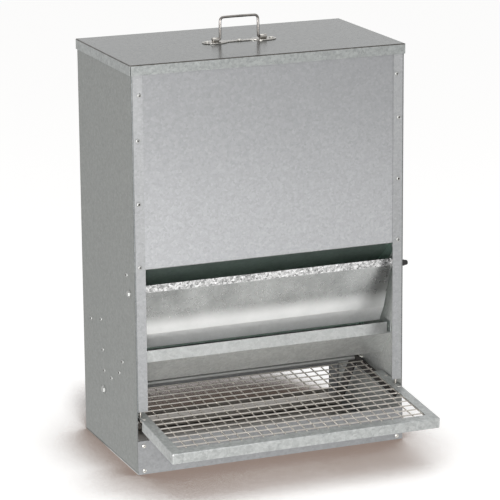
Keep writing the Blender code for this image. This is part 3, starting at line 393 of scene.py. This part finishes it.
# Base screws: pan heads with a cross recess, on a short plain shank
baseScrew = {
    "start": (-0.239, -0.0616, 0.0065),
    "sides": 24,
    "rings": ((-0.0068, 0.0018), (0.0, 0.0019), (0.00002, 0.0036), (0.0006, 0.0036), (0.0012, 0.0030),
              (0.0016, 0.0019)),
    "recess": ((0.0034, 0.0010), (0.0010, 0.0034)),
    "recessDepth": 0.0009,
    "over": {"base_screw_left_upper": (0.0, 0.0, 0.0445), "base_screw_right_lower": (0.478, 0.0, 0.0),
             "base_screw_right_upper": (0.478, 0.0, 0.0445)},
}
screwHead = turnedPiece("screw_left_lower", baseScrew["sides"], baseScrew["start"], (0, -1, 0),
                        baseScrew["rings"])
for across, tall in baseScrew["recess"]:
    top = Vector(baseScrew["start"]) + Vector((0.0, -baseScrew["rings"][-1][0], 0.0))
    bpy.ops.object.select_all(action="DESELECT")
    bpy.ops.mesh.primitive_cube_add(size=1.0, location=top,
                                    scale=(across, 2 * baseScrew["recessDepth"], tall))
    cutter = bpy.context.active_object
    cross = screwHead.modifiers.new("cross", "BOOLEAN")
    cross.operation = "DIFFERENCE"
    cross.object = cutter
    selectOnly(screwHead)
    bpy.ops.object.modifier_apply(modifier="cross")
    selectOnly(cutter)
    bpy.ops.object.delete()
screws = {"base_screw_left_lower": screwHead}
for node, over in baseScrew["over"].items():
    screws[node] = copied(screwHead, node.replace("base_screw", "screw"), over)
for node, piece in screws.items():
    finishPiece(piece, "zinc_plate", "casing", node)
print("base screws made")

# Axles: a round rod with a chamfered hexagon head and a washer under it
axleShape = {"rodSides": 20, "washerSides": 24, "headSides": 6, "seat": -0.2502, "chamfer": 0.0006}
axles = {
    "flap_axle": {"centre": (0.0, -0.032, 0.316), "rod": 0.0030, "ends": (-0.2504, 0.2714),
                  "head": ((-0.0005, 0.0057), (0.0026, 0.0057), (0.0036, 0.0050)),
                  "washer": ((0.0, 0.0062), (0.0006, 0.0062))},
    "treadle_axle": {"centre": (0.0, 0.112, 0.105), "rod": 0.0040, "ends": (-0.2504, 0.2578),
                     "head": ((-0.0005, 0.0067), (0.0026, 0.0067), (0.0036, 0.0059)),
                     "washer": ((0.0, 0.0070), (0.0006, 0.0070))},
}
for node, axle in axles.items():
    middle = Vector(axle["centre"])
    left, right = axle["ends"]
    rod = turnedPiece(f"{node}_rod", axleShape["rodSides"], middle + Vector((left, 0, 0)), (1, 0, 0),
                      ((0.0, axle["rod"]), (right - left - axleShape["chamfer"], axle["rod"]),
                       (right - left, axle["rod"] - axleShape["chamfer"])))
    seatAt = middle + Vector((axleShape["seat"], 0, 0))
    washer = turnedPiece(f"{node}_washer", axleShape["washerSides"], seatAt, (-1, 0, 0), axle["washer"])
    head = turnedPiece(f"{node}_head", axleShape["headSides"], seatAt, (-1, 0, 0), axle["head"])
    selectOnly(rod, washer, head)
    bpy.ops.object.join()
    finishPiece(rod, "zinc_plate", "casing", node, finish=wornPlate)
print("axles made")

# Nuts on the axles' right ends: a chamfered hexagon, and on the flap's a long black cap nut
nutSides = {"hexagon": 6, "cap": 24}
nuts = {
    "flap_axle_nut": {"centre": (0.2503, -0.032, 0.316), "slot": "black_nut",
                      "hexagon": ((0.0, 0.0050), (0.0005, 0.0057), (0.0150, 0.0057), (0.0156, 0.0051)),
                      "cap": ((0.0150, 0.0046), (0.0190, 0.0046), (0.0206, 0.0038), (0.0214, 0.0022))},
    "treadle_axle_nut": {"centre": (0.2503, 0.112, 0.105), "slot": "zinc_plate",
                         "hexagon": ((0.0, 0.0060), (0.0005, 0.0067), (0.0054, 0.0067), (0.0060, 0.0060)),
                         "cap": ((0.0055, 0.0052), (0.0074, 0.0052), (0.0078, 0.0046))},
}
for node, nut in nuts.items():
    hexagon = turnedPiece(f"{node}_hexagon", nutSides["hexagon"], nut["centre"], (1, 0, 0), nut["hexagon"])
    cap = turnedPiece(f"{node}_cap", nutSides["cap"], nut["centre"], (1, 0, 0), nut["cap"])
    selectOnly(hexagon, cap)
    bpy.ops.object.join()
    finishPiece(hexagon, nut["slot"], "casing", node)
print("nuts made")

# Weldmesh: straight round wires with chamfered ends in two layers, sunk into each other where welded
weldmesh = {
    "radius": 0.0012, "end": 0.0004, "sides": 10, "pitch": 0.020, "rows": 15, "columns": 24,
    "tilt": math.radians(5.0),
    "frontRow": -0.3202, "rowLevel": 0.0083, "columnLevel": 0.0064,
    "rowLength": 0.4654, "overrun": 0.0015,
}
along = Vector((0.0, math.cos(weldmesh["tilt"]), math.sin(weldmesh["tilt"])))
upright = Vector((0.0, -math.sin(weldmesh["tilt"]), math.cos(weldmesh["tilt"])))
frontRow = Vector(axles["treadle_axle"]["centre"]) + along * weldmesh["frontRow"]


def straightWire(name, start, way, length):
    narrow = weldmesh["radius"] - weldmesh["end"]
    return turnedPiece(name, weldmesh["sides"], start, way, (
        (0.0, narrow), (weldmesh["end"], weldmesh["radius"]),
        (length - weldmesh["end"], weldmesh["radius"]), (length, narrow)))


rowStart = frontRow + upright * weldmesh["rowLevel"] - Vector((weldmesh["rowLength"] / 2, 0.0, 0.0))
row = straightWire("weldmesh_row", rowStart, (1, 0, 0), weldmesh["rowLength"])
columnReach = (weldmesh["columns"] - 1) * weldmesh["pitch"]
columnStart = (frontRow + upright * weldmesh["columnLevel"] - along * weldmesh["overrun"]
               - Vector((columnReach / 2, 0.0, 0.0)))
columnLength = (weldmesh["rows"] - 1) * weldmesh["pitch"] + 2 * weldmesh["overrun"]
column = straightWire("weldmesh_column", columnStart, along, columnLength)
grid = [row] + [copied(row, f"weldmesh_row_{i}", along * weldmesh["pitch"] * i)
                for i in range(1, weldmesh["rows"])]
grid += [column] + [copied(column, f"weldmesh_column_{i}", Vector((weldmesh["pitch"] * i, 0.0, 0.0)))
                    for i in range(1, weldmesh["columns"])]
selectOnly(*grid)
bpy.ops.object.join()
row.name = "weldmesh"
finishPiece(row, "bright_wire", "treadle", "treadle_mesh")
print("weldmesh made")

# Bent wires: the CAD's facets smoothed into round wire, then let out to their thickness again
wireSmoothing = 2
bentWires = {
    "handle_bail": {"name": "bail_wire", "slot": "handle_wire", "body": "handle", "letOut": 0.00022},
    "link_rod_left": {"name": "link_wire_left", "slot": "bright_wire", "body": "link_left",
                      "letOut": 0.00018},
    "link_rod_right": {"name": "link_wire_right", "slot": "bright_wire", "body": "link_right",
                       "letOut": 0.00018},
}
for node, bent in bentWires.items():
    piece = bpy.data.objects.new(bent["name"], nodes[node].data.copy())
    scene.collection.objects.link(piece)
    selectOnly(piece)
    bpy.ops.object.mode_set(mode="EDIT")
    bpy.ops.mesh.select_all(action="SELECT")
    bpy.ops.mesh.remove_doubles(threshold=limits["mergeWithin"])
    bpy.ops.mesh.tris_convert_to_quads()
    bpy.ops.object.mode_set(mode="OBJECT")
    rounding = piece.modifiers.new("rounding", "SUBSURF")
    rounding.levels = rounding.render_levels = wireSmoothing
    bpy.ops.object.modifier_apply(modifier="rounding")
    bpy.ops.object.mode_set(mode="EDIT")
    bpy.ops.mesh.select_all(action="SELECT")
    bpy.ops.transform.shrink_fatten(value=bent["letOut"])
    bpy.ops.object.mode_set(mode="OBJECT")
    finishPiece(piece, bent["slot"], bent["body"], node)
print("bent wires made")


# The room: a pale paper floor and an even white background, both white to the eye and in reflections.
# Where the object stands close over the floor, the paper darkens to the warm brown of a contact shadow.
# The shadow is looked for over a half-sphere that leans: outwards beside the case, so that it stays
# narrow there, to the right in front of it, and towards the case behind it, where it is darkest.
room = {
    "floorSize": 16.0,
    "floorLevel": -0.0005,
    "bounceColour": "#e2e0dd",  # what the paper throws back as soft light
    "floorColour": "#a8a6a3",
    "paperGlow": "#eeeeee",
    "paperRoughness": 0.9,
    "shadowTint": "#776a63",
    "shadowReach": (0.205, 0.32),  # in front and behind
    "shadowSpan": (0.70, 0.96),  # from darkest to none, as the share of open sky
    "shadowSamples": 12,
    "sideLean": (-0.36, 0.50),  # at the left and at the right
    "sideRun": (-0.25, 0.25),
    "frontLean": (0.22, -0.08),  # to the right, and a little to the front
    "frontRun": (0.0, -0.12),
    "rearLean": -1.2,
    "rearRun": (0.12, 0.22),
    "rearWidth": (0.28, 0.16),
    "rearTint": "#453d38",
    "rearFade": (0.50, 0.36),  # from none of the rear tint to all of it
    "skyLight": 0.28,  # what the background gives as soft light
}
scene.view_settings.view_transform = "Standard"


# 1 for rays that come straight from the eye, off a glossy surface or through a clear one
def seenRays(tree):
    rays = addNode(tree, "ShaderNodeLightPath")
    direct = addNode(tree, "ShaderNodeMath", {"operation": "MAXIMUM"},
                     {0: rays.outputs["Is Camera Ray"], 1: rays.outputs["Is Glossy Ray"]})
    return addNode(tree, "ShaderNodeMath", {"operation": "MAXIMUM"},
                   {0: direct.outputs[0], 1: rays.outputs["Is Transmission Ray"]}).outputs[0]


world = bpy.data.worlds.new("paleRoom")
scene.world = world
world.use_nodes = True
sky = world.node_tree
sky.nodes.clear()
plainSky = addNode(sky, "ShaderNodeBackground", None,
                   {"Color": (1.0, 1.0, 1.0, 1.0), "Strength": room["skyLight"]})
whiteSky = addNode(sky, "ShaderNodeBackground", None, {"Color": (1.0, 1.0, 1.0, 1.0), "Strength": 1.0})
bothSkies = addNode(sky, "ShaderNodeMixShader", None,
                    {0: seenRays(sky), 1: plainSky.outputs[0], 2: whiteSky.outputs[0]})
addNode(sky, "ShaderNodeOutputWorld", None, {"Surface": bothSkies.outputs[0]})

bpy.ops.object.select_all(action="DESELECT")
bpy.ops.mesh.primitive_plane_add(size=room["floorSize"], location=(0.0, 0.0, room["floorLevel"]))
floor = bpy.context.active_object
floor.name = "floor"
floorMaterial, tree, shader = newMaterial("floorPaper")
shader.inputs["Roughness"].default_value = room["paperRoughness"]
shader.inputs["Specular IOR Level"].default_value = 0.0
spot = addNode(tree, "ShaderNodeSeparateXYZ", None,
               {0: addNode(tree, "ShaderNodeTexCoord").outputs["Object"]})
backwards = addNode(tree, "ShaderNodeMapRange", {"interpolation_type": "SMOOTHSTEP"},
                    {"Value": spot.outputs[1], "From Min": room["rearRun"][0],
                     "From Max": room["rearRun"][1]})
sideways = addNode(tree, "ShaderNodeMapRange", {"interpolation_type": "SMOOTHSTEP"}, {
    "Value": addNode(tree, "ShaderNodeMath", {"operation": "ABSOLUTE"}, {0: spot.outputs[0]}).outputs[0],
    "From Min": room["rearWidth"][0], "From Max": room["rearWidth"][1]})
behind = addNode(tree, "ShaderNodeMath", {"operation": "MULTIPLY"},
                 {0: backwards.outputs[0], 1: sideways.outputs[0]}).outputs[0]
leanOut = addNode(tree, "ShaderNodeMapRange", None,
                  {"Value": spot.outputs[0], "From Min": room["sideRun"][0], "From Max": room["sideRun"][1],
                   "To Min": room["sideLean"][0], "To Max": room["sideLean"][1]})
inFront = addNode(tree, "ShaderNodeMapRange", None,
                  {"Value": spot.outputs[1], "From Min": room["frontRun"][0],
                   "From Max": room["frontRun"][1]})
leanAcross = addNode(tree, "ShaderNodeMix", {"data_type": "FLOAT"},
                     {0: inFront.outputs[0], 2: leanOut.outputs[0], 3: room["frontLean"][0]})
leanBack = addNode(tree, "ShaderNodeMix", {"data_type": "FLOAT"},
                   {0: behind, 2: room["frontLean"][1], 3: room["rearLean"]})
reach = addNode(tree, "ShaderNodeMix", {"data_type": "FLOAT"},
                {0: behind, 2: room["shadowReach"][0], 3: room["shadowReach"][1]})
leaning = addNode(tree, "ShaderNodeCombineXYZ", None,
                  {0: leanAcross.outputs[0], 1: leanBack.outputs[0], 2: 1.0})
nearby = addNode(tree, "ShaderNodeAmbientOcclusion", {"samples": room["shadowSamples"]},
                 {"Distance": reach.outputs[0], "Normal": leaning.outputs[0]})
openness = addNode(tree, "ShaderNodeMapRange", {"interpolation_type": "SMOOTHSTEP"},
                   {"Value": nearby.outputs["AO"], "From Min": room["shadowSpan"][0],
                    "From Max": room["shadowSpan"][1]})
eye = addNode(tree, "ShaderNodeLightPath").outputs["Is Camera Ray"]
shaded = addNode(tree, "ShaderNodeMath", {"operation": "MULTIPLY"},
                 {0: eye, 1: addNode(tree, "ShaderNodeMath", {"operation": "SUBTRACT"},
                                     {0: 1.0, 1: openness.outputs[0]}).outputs[0]}).outputs[0]
notTooFar = addNode(tree, "ShaderNodeMapRange", {"interpolation_type": "SMOOTHSTEP"},
                    {"Value": spot.outputs[1], "From Min": room["rearFade"][0],
                     "From Max": room["rearFade"][1]})
closeBehind = addNode(tree, "ShaderNodeMath", {"operation": "MULTIPLY"},
                      {0: notTooFar.outputs[0], 1: behind})
tint = addNode(tree, "ShaderNodeMix", {"data_type": "RGBA"},
               {0: closeBehind.outputs[0], 6: paint(room["shadowTint"]), 7: paint(room["rearTint"])})
paper = addNode(tree, "ShaderNodeMix", {"data_type": "RGBA"},
                {0: shaded, 6: paint(room["floorColour"]), 7: tint.outputs[2]})
glow = addNode(tree, "ShaderNodeMix", {"data_type": "RGBA"},
               {0: shaded, 6: paint(room["paperGlow"]), 7: tint.outputs[2]})
seen = seenRays(tree)
paperOrBounce = addNode(tree, "ShaderNodeMix", {"data_type": "RGBA"},
                        {0: seen, 6: paint(room["bounceColour"]), 7: paper.outputs[2]})
tree.links.new(paperOrBounce.outputs[2], shader.inputs["Base Color"])
tree.links.new(glow.outputs[2], shader.inputs["Emission Color"])
tree.links.new(seen, shader.inputs["Emission Strength"])
floor.data.materials.append(floorMaterial)

lamps = {
    "keyLamp": {"place": (-1.10, -2.45, 0.50), "aim": (0.0, 0.0, 0.32), "size": 0.9, "power": 80.0},
    "topLamp": {"place": (0.2, 0.1, 2.8), "aim": (0.0, 0.0, 0.2), "size": 1.5, "power": 14.0},
}
for name, lamp in lamps.items():
    light = bpy.data.lights.new(name, "AREA")
    light.size = lamp["size"]
    light.energy = lamp["power"]
    holder = bpy.data.objects.new(name, light)
    scene.collection.objects.link(holder)
    holder.location = lamp["place"]
    way = Vector(lamp["aim"]) - Vector(lamp["place"])
    holder.rotation_euler = way.to_track_quat("-Z", "Y").to_euler()

# The camera stands about where the photo was taken from: left of the front, and higher than the lid
view = {
    "place": (-1.722, -4.240, 1.545),
    "azimuth": math.radians(21.93),
    "elevation": math.radians(14.00),
    "roll": math.radians(-0.48),
    "lens": 195.6,
    "sensor": 36.0,
    "shift": (0.0, -0.05),
    "farthest": 50.0,
}
cameraData = bpy.data.cameras.new("photoCamera")
cameraData.lens = view["lens"]
cameraData.sensor_width = view["sensor"]
cameraData.shift_x, cameraData.shift_y = view["shift"]
cameraData.clip_end = view["farthest"]
camera = bpy.data.objects.new("photoCamera", cameraData)
scene.collection.objects.link(camera)
level = math.cos(view["elevation"])
ahead = Vector((math.sin(view["azimuth"]) * level, math.cos(view["azimuth"]) * level,
                -math.sin(view["elevation"])))
camera.location = view["place"]
camera.rotation_euler = (ahead.to_track_quat("-Z", "Y").to_matrix()
                         @ Matrix.Rotation(view["roll"], 3, "Z")).to_euler()
scene.camera = camera
print("room, lamps and camera set")
